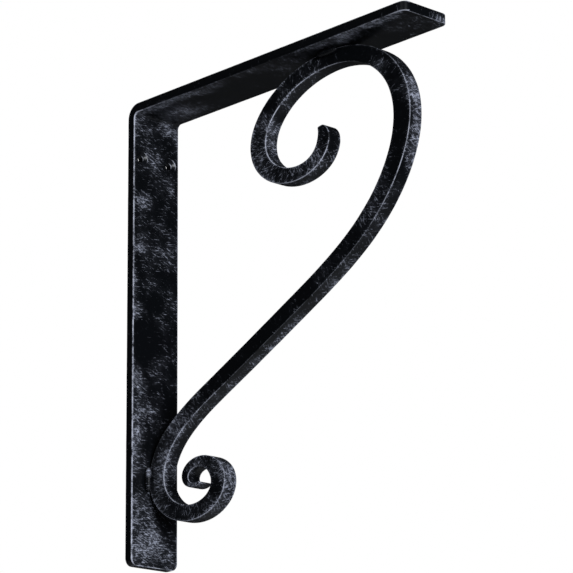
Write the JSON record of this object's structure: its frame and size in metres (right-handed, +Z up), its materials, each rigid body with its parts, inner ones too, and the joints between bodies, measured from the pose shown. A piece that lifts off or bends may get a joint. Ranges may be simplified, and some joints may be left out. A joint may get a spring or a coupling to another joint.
{
  "type": "wrought iron shelf bracket",
  "caption": "Flat iron bar bent into a leg and an arm at a right angle, braced by a forged S-scroll with a large curl under the arm and a small curl at the leg.",
  "frame": {"origin": "centre of the leg's back face at the height of its two screw holes, where it lies against the wall", "axes": "+Y out of the back face into the wall, +Z up along the leg, X along the bars' width"},
  "size_m": [0.0382, 0.254, 0.3048],
  "materials": {
    "flat_bar": "black with rubbed grey wear",
    "scroll_bar": "black with rubbed grey wear",
    "weld": "satin black"
  },
  "bodies": {
    "root": {"angle_bar": "flat_bar", "scroll": "scroll_bar", "weld_arm_left": "weld", "weld_arm_right": "weld", "weld_leg_left": "weld", "weld_leg_right": "weld"}
  },
  "joints": []
}
